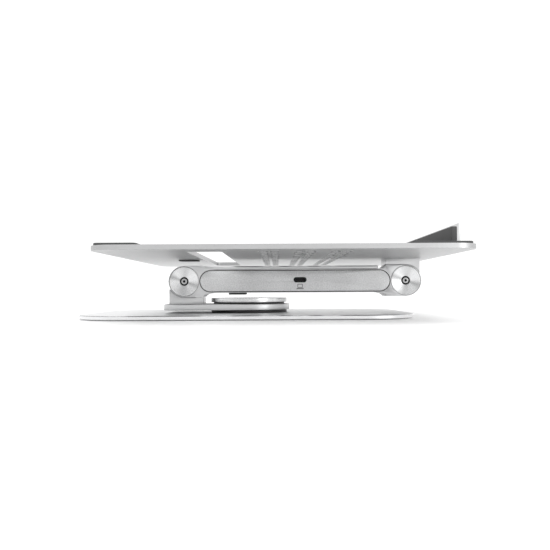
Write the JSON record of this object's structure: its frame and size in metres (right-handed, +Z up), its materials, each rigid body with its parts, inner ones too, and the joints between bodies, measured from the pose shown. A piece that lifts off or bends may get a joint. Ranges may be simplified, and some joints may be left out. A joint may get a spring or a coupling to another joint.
{
  "type": "laptop stand",
  "caption": "Folding aluminium laptop stand: padded tray with a front lip on a hinged arm that holds a port hub, on a swivelling flat foot.",
  "frame": {"origin": "on the swivel axis at the desk surface", "axes": "+X towards the front lip, +Y across the tray to the far side, +Z up; folded, with the arm and tray level"},
  "size_m": [0.2532, 0.25, 0.0603],
  "materials": {
    "anodised_aluminium": "fine bead-blasted silver anodised",
    "blasted_aluminium": "sandblasted grey anodised",
    "bright_aluminium": "spun bright, with fine turned rings",
    "steel": "plated steel",
    "rubber": "soft dark grey silicone",
    "black_polymer": "black low-friction polymer",
    "bronze": "sintered bronze",
    "board_laminate": "green solder mask"
  },
  "bodies": {
    "base": {"base_mat": "rubber", "base_plate": "anodised_aluminium", "lower_glide_ring": "black_polymer", "swivel_spindle": "steel", "spring_washer": "steel", "spindle_nut": "steel"},
    "swivel": {"swivel_plate": "anodised_aluminium", "upper_glide_ring": "black_polymer", "swivel_cap": "bright_aluminium", "lower_bracket": "anodised_aluminium", "lower_hinge_bush": "bronze", "lower_bracket_screw_1": "steel", "lower_bracket_screw_2": "steel"},
    "arm": {"arm_body": "anodised_aluminium", "arm_top_cover": "anodised_aluminium", "side_panel_near": "blasted_aluminium", "side_panel_far": "blasted_aluminium", "hub_board": "board_laminate", "board_screw_1": "steel", "board_screw_2": "steel", "usb_c_host_socket": "steel", "usb_a_socket_1": "steel", "usb_a_socket_2": "steel", "hdmi_socket": "steel", "usb_c_power_socket": "steel", "arm_bumper": "rubber", "lower_hinge_pin": "steel", "lower_friction_washer_near": "black_polymer", "lower_friction_washer_far": "black_polymer", "lower_hinge_cap_near": "bright_aluminium", "lower_hinge_cap_far": "bright_aluminium", "lower_cap_screw_near": "steel", "lower_cap_screw_far": "steel", "upper_hinge_pin": "steel", "upper_friction_washer_near": "black_polymer", "upper_friction_washer_far": "black_polymer", "upper_hinge_cap_near": "bright_aluminium", "upper_hinge_cap_far": "bright_aluminium", "upper_cap_screw_near": "steel", "upper_cap_screw_far": "steel"},
    "tray": {"upper_bracket": "anodised_aluminium", "upper_hinge_bush": "bronze", "upper_bracket_screw_1": "steel", "upper_bracket_screw_2": "steel", "tray_plate": "anodised_aluminium", "front_pad": "rubber", "rear_pad": "rubber", "lip": "anodised_aluminium", "lip_liner": "rubber", "lip_screw_1": "steel", "lip_screw_2": "steel", "lip_screw_3": "steel", "lip_screw_4": "steel", "tray_bumper": "rubber"}
  },
  "joints": [
    {"name": "base_swivel", "type": "hinge", "parent": "base", "child": "swivel", "pos_m": [0, 0, 0.0054], "axis": [0, 0, 1], "continuous": true},
    {"name": "arm_hinge", "type": "hinge", "parent": "swivel", "child": "arm", "pos_m": [-0.0481, 0, 0.0265], "axis": [0, -1, 0], "range_deg": [0, 52]},
    {"name": "tray_hinge", "type": "hinge", "parent": "arm", "child": "tray", "pos_m": [0.1173, 0, 0.0265], "axis": [0, 1, 0], "range_deg": [0, 100]}
  ]
}
